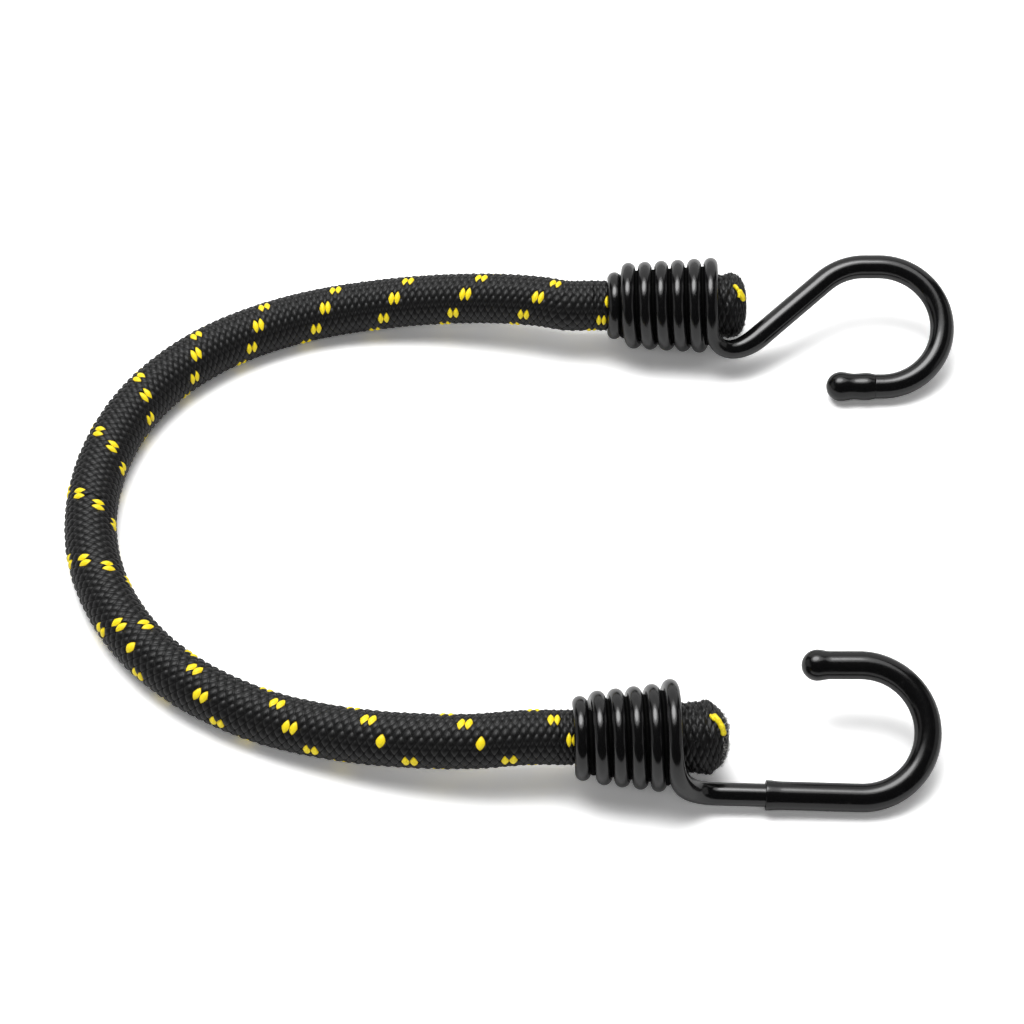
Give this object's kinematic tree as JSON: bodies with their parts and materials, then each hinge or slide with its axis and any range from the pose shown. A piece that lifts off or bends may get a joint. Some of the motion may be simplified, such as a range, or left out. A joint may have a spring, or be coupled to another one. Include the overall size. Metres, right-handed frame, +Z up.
{
  "type": "bungee cord",
  "caption": "Elastic cord in a black braided sheath with yellow flecks, a coiled and dipped wire hook at each end, lying in a U.",
  "frame": {"origin": "on the floor, under the middle of the two hooks", "axes": "+Z up from the floor, +X the way both hooks point, away from the bend of the cord, +Y from the lower hook towards the upper hook"},
  "size_m": [0.1722, 0.1232, 0.0204],
  "materials": {
    "rubber": "dull natural latex",
    "braid": "braided black yarn with bright yellow flecks in pairs",
    "wire": "glossy black dip coat on steel wire",
    "vinyl": "smooth soft black vinyl"
  },
  "bodies": {
    "cord": {"sheath": "braid", "rubber_strand_1": "rubber", "rubber_strand_2": "rubber", "rubber_strand_3": "rubber", "rubber_strand_4": "rubber", "rubber_strand_5": "rubber", "rubber_strand_6": "rubber", "rubber_strand_7": "rubber"},
    "upper_cord_end": {"upper_sheath_end": "braid", "upper_strand_end_1": "rubber", "upper_strand_end_2": "rubber", "upper_strand_end_3": "rubber", "upper_strand_end_4": "rubber", "upper_strand_end_5": "rubber", "upper_strand_end_6": "rubber", "upper_strand_end_7": "rubber"},
    "upper_hook": {"upper_hook_wire": "wire", "upper_hook_tip_cap": "vinyl"},
    "lower_cord_end": {"lower_sheath_end": "braid", "lower_strand_end_1": "rubber", "lower_strand_end_2": "rubber", "lower_strand_end_3": "rubber", "lower_strand_end_4": "rubber", "lower_strand_end_5": "rubber", "lower_strand_end_6": "rubber", "lower_strand_end_7": "rubber"},
    "lower_hook": {"lower_hook_wire": "wire", "lower_hook_sleeve": "vinyl"}
  },
  "joints": [
    {"name": "upper_stretch", "type": "slide", "parent": "cord", "child": "upper_cord_end", "axis": [1, 0, 0], "range_m": [0, 0.11], "stiffness_N_per_m": 1600, "deforming": ["sheath", "rubber_strand_1", "rubber_strand_2", "rubber_strand_3", "rubber_strand_4", "rubber_strand_5", "rubber_strand_6", "rubber_strand_7"]},
    {"name": "upper_swivel", "type": "hinge", "parent": "upper_cord_end", "child": "upper_hook", "pos_m": [-0.03319, 0.05209, 0.00995], "axis": [1, 0, 0], "range_deg": [-180, 180]},
    {"name": "lower_stretch", "type": "slide", "parent": "cord", "child": "lower_cord_end", "axis": [1, 0, 0], "range_m": [0, 0.11], "stiffness_N_per_m": 1600, "deforming": ["sheath", "rubber_strand_1", "rubber_strand_2", "rubber_strand_3", "rubber_strand_4", "rubber_strand_5", "rubber_strand_6", "rubber_strand_7"]},
    {"name": "lower_swivel", "type": "hinge", "parent": "lower_cord_end", "child": "lower_hook", "pos_m": [-0.04079, -0.05091, 0.00995], "axis": [1, 0, 0], "range_deg": [-180, 180]}
  ]
}
